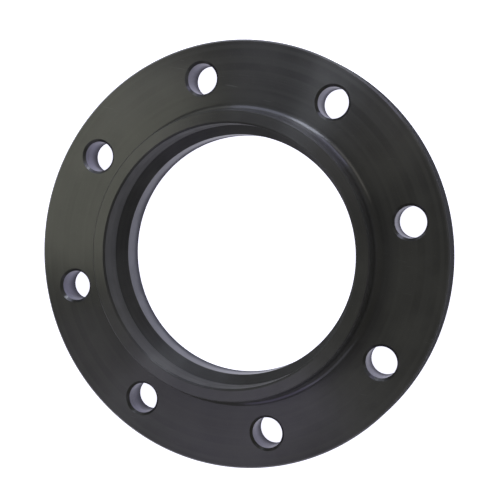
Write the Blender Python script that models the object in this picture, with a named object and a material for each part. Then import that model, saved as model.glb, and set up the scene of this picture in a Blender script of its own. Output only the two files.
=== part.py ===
"""Steel pipe flange with a short welding hub, nominal size DN 125, pressure class PN 16.

The flange is one forging, machined all over. It lies on its gasket face with the hub up: +Z runs
along the pipe, and the origin is the centre of the gasket face. The solid is one turned profile,
swept round the axis, with eight bolt holes bored through its disc.
"""

import math

import bmesh
import bpy

# Driving dimensions, in metres. The shoulder's angle is measured from the axis.
FLANGE_DIAMETER = 0.250
BOLT_CIRCLE_DIAMETER = 0.210
BOLT_HOLE_DIAMETER = 0.018
BOLT_HOLE_COUNT = 8
RAISED_FACE_DIAMETER = 0.188
RAISED_FACE_HEIGHT = 0.003
DISC_THICKNESS = 0.019
HUB_DIAMETER = 0.167
HUB_HEIGHT = 0.0155
HUB_FILLET = 0.005
SOCKET_DIAMETER = 0.1515
BORE_DIAMETER = 0.1415
SHOULDER_ANGLE = math.radians(35)
EDGE_CHAMFER = 0.001
HUB_EDGE_CHAMFER = 0.0006
HOLE_CHAMFER = 0.0015

# The holes straddle the X and Y centre lines, as they do on a flange in a pipeline.
FIRST_HOLE_ANGLE = math.pi / BOLT_HOLE_COUNT

# Faceting.
TURNED_STEPS = 96
FILLET_STEPS = 5
HOLE_STEPS = 32
CUTTER_OVERSHOOT = 0.002

# Heights that follow from the driving dimensions.
DISC_BACK_Z = RAISED_FACE_HEIGHT
DISC_FRONT_Z = DISC_BACK_Z + DISC_THICKNESS
HUB_END_Z = DISC_FRONT_Z + HUB_HEIGHT
SHOULDER_DROP = (SOCKET_DIAMETER - BORE_DIAMETER) / 2 / math.tan(SHOULDER_ANGLE)


def arc(centre, radius, start_angle, end_angle, steps):
    """Points of an arc in the (radius, height) plane, both ends included."""
    points = []
    for i in range(steps + 1):
        angle = start_angle + (end_angle - start_angle) * i / steps
        points.append((centre[0] + radius * math.cos(angle), centre[1] + radius * math.sin(angle)))
    return points


def turned_profile():
    """The half section as (radius, height) points, from the bore's back edge outwards and round."""
    bore = BORE_DIAMETER / 2
    socket = SOCKET_DIAMETER / 2
    raised = RAISED_FACE_DIAMETER / 2
    rim = FLANGE_DIAMETER / 2
    hub = HUB_DIAMETER / 2
    small = HUB_EDGE_CHAMFER
    edge = EDGE_CHAMFER
    back = [
        (bore, small),
        (bore + small, 0.0),
        (raised, 0.0),
        (raised, DISC_BACK_Z),
        (rim - edge, DISC_BACK_Z),
        (rim, DISC_BACK_Z + edge),
    ]
    front = [(rim, DISC_FRONT_Z - edge), (rim - edge, DISC_FRONT_Z)]
    fillet_centre = (hub + HUB_FILLET, DISC_FRONT_Z + HUB_FILLET)
    fillet = arc(fillet_centre, HUB_FILLET, -math.pi / 2, -math.pi, FILLET_STEPS)
    hub_end = [
        (hub, HUB_END_Z - small),
        (hub - small, HUB_END_Z),
        (socket + edge, HUB_END_Z),
        (socket, HUB_END_Z - edge),
    ]
    shoulder = [(socket, DISC_FRONT_Z), (bore, DISC_FRONT_Z - SHOULDER_DROP)]
    return back + front + fillet + hub_end + shoulder


def hole_profile():
    """Half section of one hole cutter: a plain hole with a chamfer at each face of the disc."""
    hole = BOLT_HOLE_DIAMETER / 2
    flare = hole + HOLE_CHAMFER + CUTTER_OVERSHOOT
    return [
        (0.0, DISC_BACK_Z - CUTTER_OVERSHOOT),
        (flare, DISC_BACK_Z - CUTTER_OVERSHOOT),
        (hole, DISC_BACK_Z + HOLE_CHAMFER),
        (hole, DISC_FRONT_Z - HOLE_CHAMFER),
        (flare, DISC_FRONT_Z + CUTTER_OVERSHOOT),
        (0.0, DISC_FRONT_Z + CUTTER_OVERSHOOT),
    ]


def turn(bm, profile, steps, centre=(0.0, 0.0)):
    """Sweeps a closed (radius, height) profile round the vertical axis through centre."""
    verts = [bm.verts.new((centre[0] + r, centre[1], z)) for r, z in profile]
    edges = [bm.edges.new((a, b)) for a, b in zip(verts, verts[1:] + verts[:1])]
    bmesh.ops.spin(
        bm,
        geom=verts + edges,
        cent=(centre[0], centre[1], 0.0),
        axis=(0.0, 0.0, 1.0),
        angle=2 * math.pi,
        steps=steps,
        use_merge=True,
    )


def finished_mesh(name, bm):
    """Welds the axis points of a turned solid, faces it outwards and returns it as a mesh."""
    bmesh.ops.remove_doubles(bm, verts=bm.verts, dist=1e-6)
    loose = [edge for edge in bm.edges if len(edge.link_faces) == 0]
    bmesh.ops.delete(bm, geom=loose, context="EDGES")
    bmesh.ops.recalc_face_normals(bm, faces=bm.faces)
    mesh = bpy.data.meshes.new(name)
    bm.to_mesh(mesh)
    bm.free()
    return mesh


def add_object(name, mesh):
    obj = bpy.data.objects.new(name, mesh)
    bpy.context.scene.collection.objects.link(obj)
    return obj


def black_steel():
    """Machined forging steel under a thin black rust-proofing finish."""
    material = bpy.data.materials.new("black_steel")
    material.use_nodes = True
    shader = material.node_tree.nodes["Principled BSDF"]
    shader.inputs["Base Color"].default_value = (0.040, 0.040, 0.038, 1.0)
    shader.inputs["Roughness"].default_value = 0.38
    shader.inputs["Metallic"].default_value = 0.6
    return material


def make_hole_cutter():
    bm = bmesh.new()
    for i in range(BOLT_HOLE_COUNT):
        angle = FIRST_HOLE_ANGLE + 2 * math.pi * i / BOLT_HOLE_COUNT
        x = BOLT_CIRCLE_DIAMETER / 2 * math.cos(angle)
        y = BOLT_CIRCLE_DIAMETER / 2 * math.sin(angle)
        turn(bm, hole_profile(), HOLE_STEPS, (x, y))
    cutter = add_object("bolt_hole_cutter", finished_mesh("bolt_hole_cutter", bm))
    cutter.hide_render = True
    cutter.display_type = "WIRE"
    return cutter


def make_flange(cutter):
    bm = bmesh.new()
    turn(bm, turned_profile(), TURNED_STEPS)
    mesh = finished_mesh("flange", bm)
    mesh.shade_smooth()
    mesh.set_sharp_from_angle(angle=math.radians(30))
    mesh.materials.append(black_steel())
    flange = add_object("flange", mesh)
    holes = flange.modifiers.new("bolt_holes", "BOOLEAN")
    holes.operation = "DIFFERENCE"
    holes.solver = "EXACT"
    holes.object = cutter
    return flange


def main():
    for obj in list(bpy.data.objects):
        bpy.data.objects.remove(obj, do_unlink=True)
    make_flange(make_hole_cutter())


main()
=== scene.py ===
"""Looks of the DN 125 PN 16 pipe flange: the turned forging at full detail, its black finish, and a
white table with soft studio lamps."""

import math

import bmesh
import bpy
from mathutils import Matrix, Vector


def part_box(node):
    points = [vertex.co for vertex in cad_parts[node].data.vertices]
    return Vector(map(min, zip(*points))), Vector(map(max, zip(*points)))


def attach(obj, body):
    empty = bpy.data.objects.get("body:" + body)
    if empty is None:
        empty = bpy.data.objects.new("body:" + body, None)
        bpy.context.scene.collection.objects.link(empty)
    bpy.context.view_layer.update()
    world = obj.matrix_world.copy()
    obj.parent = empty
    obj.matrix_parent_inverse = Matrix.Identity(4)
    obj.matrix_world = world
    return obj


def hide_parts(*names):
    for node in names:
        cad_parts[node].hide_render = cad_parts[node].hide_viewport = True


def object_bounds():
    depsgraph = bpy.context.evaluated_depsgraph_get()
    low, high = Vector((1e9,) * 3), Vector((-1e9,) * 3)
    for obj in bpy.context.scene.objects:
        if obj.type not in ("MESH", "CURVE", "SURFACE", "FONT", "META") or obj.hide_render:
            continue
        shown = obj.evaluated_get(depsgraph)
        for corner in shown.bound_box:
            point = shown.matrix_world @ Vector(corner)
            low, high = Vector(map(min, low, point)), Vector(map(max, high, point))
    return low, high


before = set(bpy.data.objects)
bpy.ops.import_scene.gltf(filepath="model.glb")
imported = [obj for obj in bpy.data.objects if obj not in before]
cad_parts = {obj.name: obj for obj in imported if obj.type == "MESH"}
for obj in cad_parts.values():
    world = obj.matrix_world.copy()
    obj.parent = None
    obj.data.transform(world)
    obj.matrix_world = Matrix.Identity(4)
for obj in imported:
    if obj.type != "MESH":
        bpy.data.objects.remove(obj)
cad_low, cad_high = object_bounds()
flange_low, flange_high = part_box("flange")

MM = 0.001

# The turned shape, in metres. The rim, the hub's end and the gasket face come from the frame.
RIM_RADIUS = flange_high.x
GASKET_FACE_Z = flange_low.z
HUB_END_Z = flange_high.z
HUB_HEIGHT = 15.5 * MM
DISC_BACK_Z = GASKET_FACE_Z + 3 * MM
DISC_FRONT_Z = HUB_END_Z - HUB_HEIGHT
RAISED_FACE_RADIUS = 94 * MM
BORE_RADIUS = 70.75 * MM
SOCKET_RADIUS = 75.75 * MM
HUB_RADIUS = 83.5 * MM
HUB_FILLET = 5 * MM
EDGE_CHAMFER = 1 * MM
HUB_EDGE_CHAMFER = 0.6 * MM
HOLE_CHAMFER = 1.5 * MM
SHOULDER_ANGLE = math.radians(35)
SHOULDER_Z = DISC_FRONT_Z - (SOCKET_RADIUS - BORE_RADIUS) / math.tan(SHOULDER_ANGLE)

# Rounding left by the tool and the finish on turned edges and in turned corners.
CRISP = 0.15 * MM
SOFT = 0.4 * MM
ROOT = 0.6 * MM

# Fine concentric grooves of the gasket face.
GROOVE_PITCH = 0.8 * MM
GROOVE_DEPTH = 0.05 * MM
GROOVE_MARGIN = 0.9 * MM

BOLT_CIRCLE_RADIUS = 105 * MM
BOLT_HOLE_RADIUS = 9 * MM
BOLT_HOLE_COUNT = 8
FIRST_HOLE_ANGLE = math.pi / BOLT_HOLE_COUNT

# How finely the shape is swept and its corners rounded. An edge that turns by more than
# SHARP_ANGLE is shaded as an edge.
TURNED_STEPS = 384
HOLE_STEPS = 96
CORNER_STEP = math.radians(12)
SHARP_ANGLE = math.radians(28)

# Points this near each other are merged, and the hole cutters reach this far past the disc.
MERGE_DISTANCE = 1e-7
CUTTER_OVERSHOOT = 2 * MM

# How faces are sorted into finishes. A face is upright when its normal rises or falls by less than
# this, and it belongs to a wall that it lies within WALL_MARGIN of. MOUTH_MARGIN takes in the
# rounding outside the socket's chamfer.
UPRIGHT_NORMAL_Z = 0.1
WALL_MARGIN = 0.1 * MM
MOUTH_MARGIN = 0.2 * MM

# Roughness and weight of varnish of the turned finishes.
TURNED_LOOK = (0.42, 0.6)
RECESS_LOOK = (0.41, 0.0)
SHOULDER_LOOK = (0.54, 0.0)

# Heights between which the bore's wall and the bolt holes' walls turn from painted shade, darker and
# rougher, to their full tone, and how far that change wanders up and down.
BORE_SHADE_SPAN = (1 * MM, 9 * MM)
HOLE_SHADE_SPAN = (3 * MM, 15 * MM)
PAINTED_SHADE_WANDER = 4 * MM

# Dark, middle and light tones of those walls, and the painted shade tone of their back ends.
BORE_TONES = ((0.031, 0.031, 0.04, 1), (0.062, 0.062, 0.075, 1), (0.088, 0.088, 0.106, 1))
# The bolt holes' pale lavender tones are partly their own colour and partly a painted reflection of the
# white table.
HOLE_TONES_AND_PAINTED_REFLECTION = ((0.1, 0.095, 0.135, 1), (0.18, 0.17, 0.235, 1), (0.23, 0.22, 0.3, 1))
PAINTED_SHADE_TONE = (0.02, 0.02, 0.03, 1)

# Tones of the turned faces, their rings, dust and scratches, and of the dull rim.
BLACK_TONES = ((0.024, 0.024, 0.0235, 1), (0.036, 0.036, 0.034, 1))
RING_TONE = (0.048, 0.048, 0.0445, 1)
DUST_TONE = (0.14, 0.135, 0.125, 1)
SCRATCH_TONE = (0.13, 0.13, 0.135, 1)
DULL_TONES = ((0.015, 0.015, 0.016, 1), (0.019, 0.019, 0.02, 1))

# Part of a mottle's noise that goes from its darker tone to its lighter one.
MOTTLE_RANGE = (0.35, 0.65)

# Weight of height against radius in the lathe marks. At 1, chamfers at 45 degrees on outer edges
# would cross no marks.
HEIGHT_WEIGHT = 1.37

# Directions of the two sets of scratches, in radians.
SCRATCH_TURNS = (0.5, 2.1)

# Relief of tool marks and grain: fine on the turned and bored faces, coarser on the dull rim.
FINE_RELIEF = 0.02 * MM
RIM_CUT_RELIEF = 0.05 * MM
RIM_GRAIN_RELIEF = 0.04 * MM

# The white table: its radius in metres, its gap below the flange, its colour and its own light.
TABLE_RADIUS = 40
TABLE_GAP = 0.2 * MM
TABLE_TONE = (0.8, 0.8, 0.8, 1)
TABLE_GLOW = (0.87, 0.87, 1, 1)
TABLE_GLOW_STRENGTH = 1.15


def rounded_corner(before, corner, after, radius):
    """Points of the arc of that radius that replaces a corner of an outline."""
    a = Vector(before) - Vector(corner)
    b = Vector(after) - Vector(corner)
    half = a.angle(b) / 2
    reach = radius / math.tan(half)
    centre = Vector(corner) + (a.normalized() + b.normalized()).normalized() * radius / math.sin(half)
    start = Vector(corner) + a.normalized() * reach - centre
    sweep = start.angle_signed(Vector(corner) + b.normalized() * reach - centre)
    steps = max(2, math.ceil(abs(sweep) / CORNER_STEP))
    return [tuple(centre + Matrix.Rotation(-sweep * i / steps, 2) @ start) for i in range(steps + 1)]


def softened(outline):
    """A closed outline of (radius, height, rounding) corners as plain points, arcs worked out."""
    points = []
    for i, (r, z, rounding) in enumerate(outline):
        if rounding == 0:
            points.append((r, z))
            continue
        before = outline[i - 1][:2]
        after = outline[(i + 1) % len(outline)][:2]
        points += rounded_corner(before, (r, z), after, rounding)
    return points


def gasket_grooves():
    """Crests and roots of the gasket face's grooves, from the bore outwards."""
    first = BORE_RADIUS + HUB_EDGE_CHAMFER + GROOVE_MARGIN
    last = RAISED_FACE_RADIUS - GROOVE_MARGIN
    count = math.floor((last - first) / GROOVE_PITCH)
    corners = []
    for i in range(count):
        r = first + i * GROOVE_PITCH
        corners.append((r, GASKET_FACE_Z, 0))
        corners.append((r + GROOVE_PITCH / 2, GASKET_FACE_Z + GROOVE_DEPTH, 0))
    corners.append((first + count * GROOVE_PITCH, GASKET_FACE_Z, 0))
    return corners


def turned_outline():
    """The flange's half section, round from the bore's back edge."""
    edge = EDGE_CHAMFER
    small = HUB_EDGE_CHAMFER
    corners = [
        (BORE_RADIUS, GASKET_FACE_Z + small, CRISP),
        (BORE_RADIUS + small, GASKET_FACE_Z, CRISP),
        *gasket_grooves(),
        (RAISED_FACE_RADIUS, GASKET_FACE_Z, SOFT),
        (RAISED_FACE_RADIUS, DISC_BACK_Z, ROOT),
        (RIM_RADIUS - edge, DISC_BACK_Z, CRISP),
        (RIM_RADIUS, DISC_BACK_Z + edge, CRISP),
        (RIM_RADIUS, DISC_FRONT_Z - edge, CRISP),
        (RIM_RADIUS - edge, DISC_FRONT_Z, CRISP),
        (HUB_RADIUS, DISC_FRONT_Z, HUB_FILLET),
        (HUB_RADIUS, HUB_END_Z - small, CRISP),
        (HUB_RADIUS - small, HUB_END_Z, CRISP),
        (SOCKET_RADIUS + edge, HUB_END_Z, SOFT),
        (SOCKET_RADIUS, HUB_END_Z - edge, SOFT),
        (SOCKET_RADIUS, DISC_FRONT_Z, SOFT),
        (BORE_RADIUS, SHOULDER_Z, SOFT),
    ]
    return softened(corners)


def hole_outline():
    """Half section of a hole cutter: a plain hole that flares into a chamfer at each face."""
    over = CUTTER_OVERSHOOT
    flare = BOLT_HOLE_RADIUS + HOLE_CHAMFER + over
    corners = [
        (0, DISC_BACK_Z - over, 0),
        (flare, DISC_BACK_Z - over, 0),
        (BOLT_HOLE_RADIUS, DISC_BACK_Z + HOLE_CHAMFER, CRISP),
        (BOLT_HOLE_RADIUS, DISC_FRONT_Z - HOLE_CHAMFER, CRISP),
        (flare, DISC_FRONT_Z + over, 0),
        (0, DISC_FRONT_Z + over, 0),
    ]
    return softened(corners)


def turned_object(name, outline, steps, centres):
    """A closed outline swept round a vertical axis at each centre, as one object."""
    bm = bmesh.new()
    for x, y in centres:
        verts = [bm.verts.new((x + r, y, z)) for r, z in outline]
        edges = [bm.edges.new(pair) for pair in zip(verts, verts[1:] + verts[:1])]
        bmesh.ops.spin(
            bm,
            geom=verts + edges,
            cent=(x, y, 0),
            axis=(0, 0, 1),
            angle=2 * math.pi,
            steps=steps,
            use_merge=True,
        )
    bmesh.ops.remove_doubles(bm, verts=bm.verts, dist=MERGE_DISTANCE)
    loose = [edge for edge in bm.edges if not edge.link_faces]
    bmesh.ops.delete(bm, geom=loose, context="EDGES")
    bmesh.ops.recalc_face_normals(bm, faces=bm.faces)
    mesh = bpy.data.meshes.new(name)
    bm.to_mesh(mesh)
    bm.free()
    obj = bpy.data.objects.new(name, mesh)
    bpy.context.scene.collection.objects.link(obj)
    return obj


def hole_centres():
    """Places of the bolt holes on their circle, half a pitch off the x axis."""
    centres = []
    for i in range(BOLT_HOLE_COUNT):
        angle = FIRST_HOLE_ANGLE + 2 * math.pi * i / BOLT_HOLE_COUNT
        centres.append((BOLT_CIRCLE_RADIUS * math.cos(angle), BOLT_CIRCLE_RADIUS * math.sin(angle)))
    return centres


def apply_modifiers(obj):
    """Bakes an object's modifiers into its mesh."""
    evaluated = obj.evaluated_get(bpy.context.evaluated_depsgraph_get())
    mesh = bpy.data.meshes.new_from_object(evaluated)
    obj.modifiers.clear()
    obj.data = mesh


def give_finishes(mesh):
    """Gives the turned faces, recess, shoulder, bored walls and rim each their own finish."""
    mesh.materials.clear()
    finishes = {
        "turned": turned_finish("black_turned", *TURNED_LOOK),
        "recess": turned_finish("black_recess", *RECESS_LOOK),
        "shoulder": turned_finish("black_shoulder", *SHOULDER_LOOK),
        "bore": bored_finish("black_bore", *BORE_SHADE_SPAN, *BORE_TONES),
        "hole": bored_finish("black_hole", *HOLE_SHADE_SPAN, *HOLE_TONES_AND_PAINTED_REFLECTION),
        "dull": dull_finish(),
    }
    for finish in finishes.values():
        mesh.materials.append(finish)
    slots = list(finishes)
    centres = [Vector(centre) for centre in hole_centres()]
    mouth_radius = SOCKET_RADIUS + EDGE_CHAMFER + MOUTH_MARGIN
    for face in mesh.polygons:
        place = face.center.xy
        from_hole = min((place - centre).length for centre in centres)
        in_hole = from_hole < BOLT_HOLE_RADIUS + WALL_MARGIN
        upright = abs(face.normal.z) < UPRIGHT_NORMAL_Z
        in_bore = upright and place.length < BORE_RADIUS + WALL_MARGIN
        in_socket = place.length < mouth_radius and face.center.z > SHOULDER_Z
        on_shoulder = in_socket and face.center.z < DISC_FRONT_Z and not upright
        on_rim = upright and place.length > RIM_RADIUS - WALL_MARGIN
        from_hub_edge = (place.length - HUB_RADIUS, face.center.z - HUB_END_Z)
        on_hub_edge = max(map(abs, from_hub_edge)) < HUB_EDGE_CHAMFER
        if in_hole:
            finish = "hole"
        elif in_bore:
            finish = "bore"
        elif on_rim:
            finish = "dull"
        elif on_shoulder:
            finish = "shoulder"
        elif in_socket or on_hub_edge:
            finish = "recess"
        else:
            finish = "turned"
        face.material_index = slots.index(finish)


def make_forging():
    """Makes the turned body, cuts its bolt holes and puts it in the CAD flange's place."""
    forging = turned_object("forging", turned_outline(), TURNED_STEPS, [(0, 0)])
    cutter = turned_object("hole_cutter", hole_outline(), HOLE_STEPS, hole_centres())
    cut = forging.modifiers.new("bolt_holes", "BOOLEAN")
    cut.operation = "DIFFERENCE"
    cut.solver = "EXACT"
    cut.object = cutter
    apply_modifiers(forging)
    bpy.data.objects.remove(cutter)
    forging.data.shade_smooth()
    forging.data.set_sharp_from_angle(angle=SHARP_ANGLE)
    flat_faces = forging.modifiers.new("flat_faces", "WEIGHTED_NORMAL")
    flat_faces.mode = "FACE_AREA"
    flat_faces.keep_sharp = True
    give_finishes(forging.data)
    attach(forging, "root")
    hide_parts("flange")


class NodeMaker:
    """Adds nodes to a material's tree and wires them as they are made."""

    def __init__(self, material):
        self.material = material
        material.use_nodes = True
        self.tree = material.node_tree
        self.shader = self.tree.nodes["Principled BSDF"]

    def wire(self, socket, value):
        if isinstance(value, bpy.types.NodeSocket):
            self.tree.links.new(value, socket)
        else:
            socket.default_value = value

    def math(self, operation, a, b=0.0, c=0.0):
        node = self.tree.nodes.new("ShaderNodeMath")
        node.operation = operation
        for socket, value in zip(node.inputs, (a, b, c)):
            self.wire(socket, value)
        return node.outputs["Value"]

    def remap(self, value, low, high, to_low=0.0, to_high=1.0):
        """The value taken smoothly from one range to another, and held at the ends."""
        node = self.tree.nodes.new("ShaderNodeMapRange")
        node.interpolation_type = "SMOOTHSTEP"
        for name, number in zip(("From Min", "From Max", "To Min", "To Max"), (low, high, to_low, to_high)):
            node.inputs[name].default_value = number
        self.wire(node.inputs["Value"], value)
        return node.outputs["Result"]

    def noise(self, place, scale, detail=2.0, dimensions="3D"):
        """Noise from about 0.3 to 0.7 with the given number of blotches per metre."""
        node = self.tree.nodes.new("ShaderNodeTexNoise")
        node.noise_dimensions = dimensions
        self.wire(node.inputs["W" if dimensions == "1D" else "Vector"], place)
        node.inputs["Scale"].default_value = scale
        node.inputs["Detail"].default_value = detail
        return node.outputs["Fac"]

    def blend(self, amount, a, b):
        node = self.tree.nodes.new("ShaderNodeMix")
        node.data_type = "RGBA"
        self.wire(node.inputs["Factor"], amount)
        colours = [socket for socket in node.inputs if socket.type == "RGBA"]
        self.wire(colours[0], a)
        self.wire(colours[1], b)
        return next(socket for socket in node.outputs if socket.type == "RGBA")

    def bump(self, height, strength, distance, normal=None):
        node = self.tree.nodes.new("ShaderNodeBump")
        node.inputs["Strength"].default_value = strength
        node.inputs["Distance"].default_value = distance
        self.wire(node.inputs["Height"], height)
        if normal is not None:
            self.wire(node.inputs["Normal"], normal)
        return node.outputs["Normal"]


def radius_of(make, place):
    """Distance from the flange's axis, and height."""
    split = make.tree.nodes.new("ShaderNodeSeparateXYZ")
    make.wire(split.inputs["Vector"], place)
    x, y, z = split.outputs
    squares = make.math("ADD", make.math("MULTIPLY", x, x), make.math("MULTIPLY", y, y))
    return make.math("SQRT", squares), z


def scratch_mask(make, place, turn):
    """Short straight handling scratches that all lean one way."""
    node = make.tree.nodes.new("ShaderNodeMapping")
    make.wire(node.inputs["Vector"], place)
    node.inputs["Rotation"].default_value = (0.0, 0.0, turn)
    node.inputs["Scale"].default_value = (1.0, 0.06, 1.0)
    lines = make.noise(node.outputs["Vector"], 1100, 1)
    patches = make.noise(place, 35, 2)
    return make.math("MULTIPLY", make.remap(lines, 0.71, 0.8), make.remap(patches, 0.54, 0.66))


def turned_finish(name, roughness, varnish):
    """Turned forging steel blackened all over, as rough and as varnished as asked for.

    Its lathe marks follow the radius on flat faces and the height on upright walls."""
    make = NodeMaker(bpy.data.materials.new(name))
    place = make.tree.nodes.new("ShaderNodeTexCoord").outputs["Object"]
    radius, z = radius_of(make, place)
    along_cut = make.math("MULTIPLY_ADD", z, HEIGHT_WEIGHT, radius)

    feed_marks = make.noise(along_cut, 1500, 1, "1D")
    passes = make.noise(along_cut, 240, 3, "1D")
    mottle = make.noise(place, 38, 4)
    smudge = make.noise(place, 110, 3)
    grain = make.noise(place, 1500, 2)
    dust = make.remap(grain, 0.66, 0.74)
    scratches = make.math("MAXIMUM", *[scratch_mask(make, place, turn) for turn in SCRATCH_TURNS])

    black = make.blend(make.remap(mottle, *MOTTLE_RANGE), *BLACK_TONES)
    ringed = make.blend(make.remap(passes, 0.3, 0.7, 0.0, 0.5), black, RING_TONE)
    dusty = make.blend(make.math("MULTIPLY", dust, 0.25), ringed, DUST_TONE)
    scratched = make.blend(make.math("MULTIPLY", scratches, 0.3), dusty, SCRATCH_TONE)
    make.wire(make.shader.inputs["Base Color"], scratched)

    by_pass = make.math("MULTIPLY_ADD", make.math("SUBTRACT", passes, 0.5), 0.22, roughness)
    by_smudge = make.math("MULTIPLY_ADD", make.math("SUBTRACT", smudge, 0.5), 0.16, by_pass)
    make.wire(make.shader.inputs["Roughness"], make.math("MULTIPLY_ADD", dust, 0.15, by_smudge))

    lathe = make.bump(feed_marks, 0.3, FINE_RELIEF)
    make.wire(make.shader.inputs["Normal"], make.bump(grain, 0.2, FINE_RELIEF, lathe))

    make.shader.inputs["Metallic"].default_value = 0.5
    make.shader.inputs["Anisotropic"].default_value = 1.0
    make.shader.inputs["Anisotropic Rotation"].default_value = 0.25
    make.shader.inputs["Coat Weight"].default_value = varnish
    make.shader.inputs["Coat Roughness"].default_value = 0.15
    tangent = make.tree.nodes.new("ShaderNodeTangent")
    tangent.direction_type = "RADIAL"
    tangent.axis = "Z"
    make.wire(make.shader.inputs["Tangent"], tangent.outputs["Tangent"])
    return make.material


def bored_finish(name, low, high, dark, middle, light):
    """The smoother, faintly bluish black of a bored wall, rougher towards its back end and darkened there
    with painted shade.
    """
    make = NodeMaker(bpy.data.materials.new(name))
    place = make.tree.nodes.new("ShaderNodeTexCoord").outputs["Object"]
    z = radius_of(make, place)[1]
    tool_marks = make.noise(z, 1300, 2, "1D")
    mottle = make.noise(place, 90, 3)
    # For the bolt holes these tones are partly a painted reflection of the white table.
    black = make.blend(make.remap(mottle, *MOTTLE_RANGE), dark, middle)
    ringed = make.blend(make.remap(tool_marks, 0.4, 0.7, 0.0, 0.5), black, light)
    # Painted shade: the wall is darkened towards its back end, and made rougher there.
    wandering_z = make.math("MULTIPLY_ADD", make.math("SUBTRACT", mottle, 0.5), PAINTED_SHADE_WANDER, z)
    painted_shade_and_rough = make.remap(wandering_z, high, low)
    make.wire(make.shader.inputs["Base Color"], make.blend(painted_shade_and_rough, ringed, PAINTED_SHADE_TONE))
    gloss = make.math("MULTIPLY_ADD", make.math("SUBTRACT", mottle, 0.5), 0.12, 0.36)
    make.wire(make.shader.inputs["Roughness"], make.math("MULTIPLY_ADD", painted_shade_and_rough, 0.35, gloss))
    make.wire(make.shader.inputs["Normal"], make.bump(tool_marks, 0.3, FINE_RELIEF))
    make.shader.inputs["Metallic"].default_value = 0.1
    make.shader.inputs["Specular IOR Level"].default_value = 0.22
    return make.material


def dull_finish():
    """The matt black of the rim, which is turned coarse."""
    make = NodeMaker(bpy.data.materials.new("black_dull"))
    place = make.tree.nodes.new("ShaderNodeTexCoord").outputs["Object"]
    z = radius_of(make, place)[1]
    coarse_cut = make.noise(z, 700, 1, "1D")
    mottle = make.noise(place, 120, 4)
    grain = make.noise(place, 1800, 3)
    black = make.blend(make.remap(mottle, *MOTTLE_RANGE), *DULL_TONES)
    make.wire(make.shader.inputs["Base Color"], black)
    gloss = make.math("MULTIPLY_ADD", make.math("SUBTRACT", mottle, 0.5), 0.1, 0.8)
    make.wire(make.shader.inputs["Roughness"], gloss)
    cut = make.bump(coarse_cut, 0.5, RIM_CUT_RELIEF)
    make.wire(make.shader.inputs["Normal"], make.bump(grain, 0.4, RIM_GRAIN_RELIEF, cut))
    make.shader.inputs["Specular IOR Level"].default_value = 0.03
    return make.material


# The camera looks down on the hub side, a little off the axis and turned about its own axis.
CAMERA_PLACE = Vector((0.07155, -0.19784, 0.61687))
CAMERA_AIM = Vector((0.00501, -0.00836, 0.0200))
CAMERA_ROLL = math.radians(97.43)
CAMERA_LENS = 77.97
CAMERA_SENSOR = 36


def make_camera():
    data = bpy.data.cameras.new("camera")
    data.lens = CAMERA_LENS
    data.sensor_width = CAMERA_SENSOR
    camera = bpy.data.objects.new("camera", data)
    bpy.context.scene.collection.objects.link(camera)
    camera.location = CAMERA_PLACE
    camera.rotation_mode = "QUATERNION"
    look = (CAMERA_AIM - CAMERA_PLACE).to_track_quat("-Z", "Y").to_matrix()
    camera.rotation_quaternion = (look @ Matrix.Rotation(-CAMERA_ROLL, 3, "Z")).to_quaternion()
    bpy.context.scene.camera = camera


def make_table():
    """A glowing white table top, so that no hard shadow falls on it."""
    bm = bmesh.new()
    bmesh.ops.create_circle(bm, cap_ends=True, segments=96, radius=TABLE_RADIUS)
    mesh = bpy.data.meshes.new("table")
    bm.to_mesh(mesh)
    bm.free()
    table = bpy.data.objects.new("table", mesh)
    bpy.context.scene.collection.objects.link(table)
    table.location.z = cad_low.z - TABLE_GAP
    material = bpy.data.materials.new("table_white")
    material.use_nodes = True
    shader = material.node_tree.nodes["Principled BSDF"]
    shader.inputs["Base Color"].default_value = TABLE_TONE
    shader.inputs["Roughness"].default_value = 0.9
    shader.inputs["Emission Color"].default_value = TABLE_GLOW
    shader.inputs["Emission Strength"].default_value = TABLE_GLOW_STRENGTH
    table.data.materials.append(material)


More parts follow.
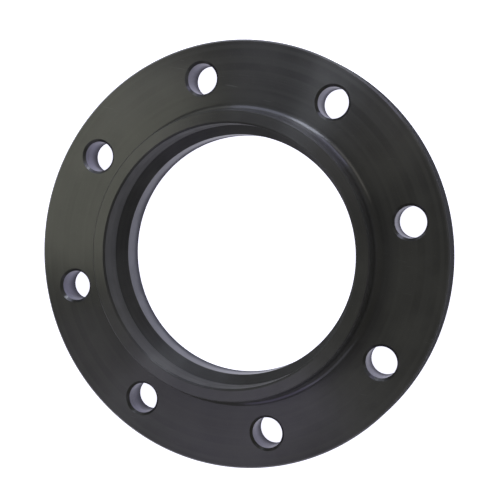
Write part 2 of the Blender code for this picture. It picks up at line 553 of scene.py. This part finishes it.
def soft_lamp(name, polar, azimuth, distance, size, watts, colour):
    """A soft box of some width and height on a dome round the flange, aimed at it. Angles in degrees."""
    data = bpy.data.lights.new(name, "AREA")
    data.shape = "RECTANGLE"
    data.size, data.size_y = size
    data.energy = watts
    data.color = colour
    lamp = bpy.data.objects.new(name, data)
    bpy.context.scene.collection.objects.link(lamp)
    p, a = math.radians(polar), math.radians(azimuth)
    way = Vector((math.sin(p) * math.cos(a), math.sin(p) * math.sin(a), math.cos(p)))
    lamp.location = way * distance
    lamp.rotation_mode = "QUATERNION"
    lamp.rotation_quaternion = (-way).to_track_quat("-Z", "Y")


# Soft boxes: polar angle from straight up, azimuth, distance, (width, height), watts and colour.
LAMPS = {
    "key": (31, 92, 0.97, (0.31, 0.27), 0.58, (0.98, 1.00, 0.83)),
    "strip": (58, -3, 0.73, (0.17, 0.42), 2.1, (0.81, 0.85, 1.00)),
    "side": (62, 18, 0.73, (0.31, 0.42), 1.3, (0.66, 0.69, 0.92)),
    "upper_left": (24, 140, 0.97, (0.23, 0.23), 0.24, (0.79, 0.75, 1.00)),
    "back_left": (60, 130, 0.8, (0.31, 0.31), 0.95, (0.86, 0.84, 1.00)),
    "low_right": (75, 338, 0.73, (0.26, 0.26), 0.53, (0.66, 0.64, 1.00)),
    "low_left": (50, 190, 0.73, (0.31, 0.31), 0.46, (0.63, 0.56, 1.00)),
    "left": (50, 215, 0.73, (0.31, 0.31), 0.31, (0.81, 0.81, 1.00)),
    "lower_right": (40, 330, 0.8, (0.3, 0.3), 0.42, (1.00, 0.95, 0.86)),
    "upper_right": (62, 45, 0.73, (0.31, 0.31), 0.34, (0.76, 0.78, 0.74)),
}
SKY_COLOUR = (1.00, 0.99, 0.86)
SKY_STRENGTH = 0.22


def make_world():
    world = bpy.data.worlds.new("studio")
    world.use_nodes = True
    background = world.node_tree.nodes["Background"]
    background.inputs["Color"].default_value = (*SKY_COLOUR, 1)
    background.inputs["Strength"].default_value = SKY_STRENGTH
    bpy.context.scene.world = world


make_camera()
make_table()
make_world()
for lamp_name, settings in LAMPS.items():
    soft_lamp(lamp_name, *settings)
make_forging()

bpy.context.scene.view_settings.view_transform = "Standard"
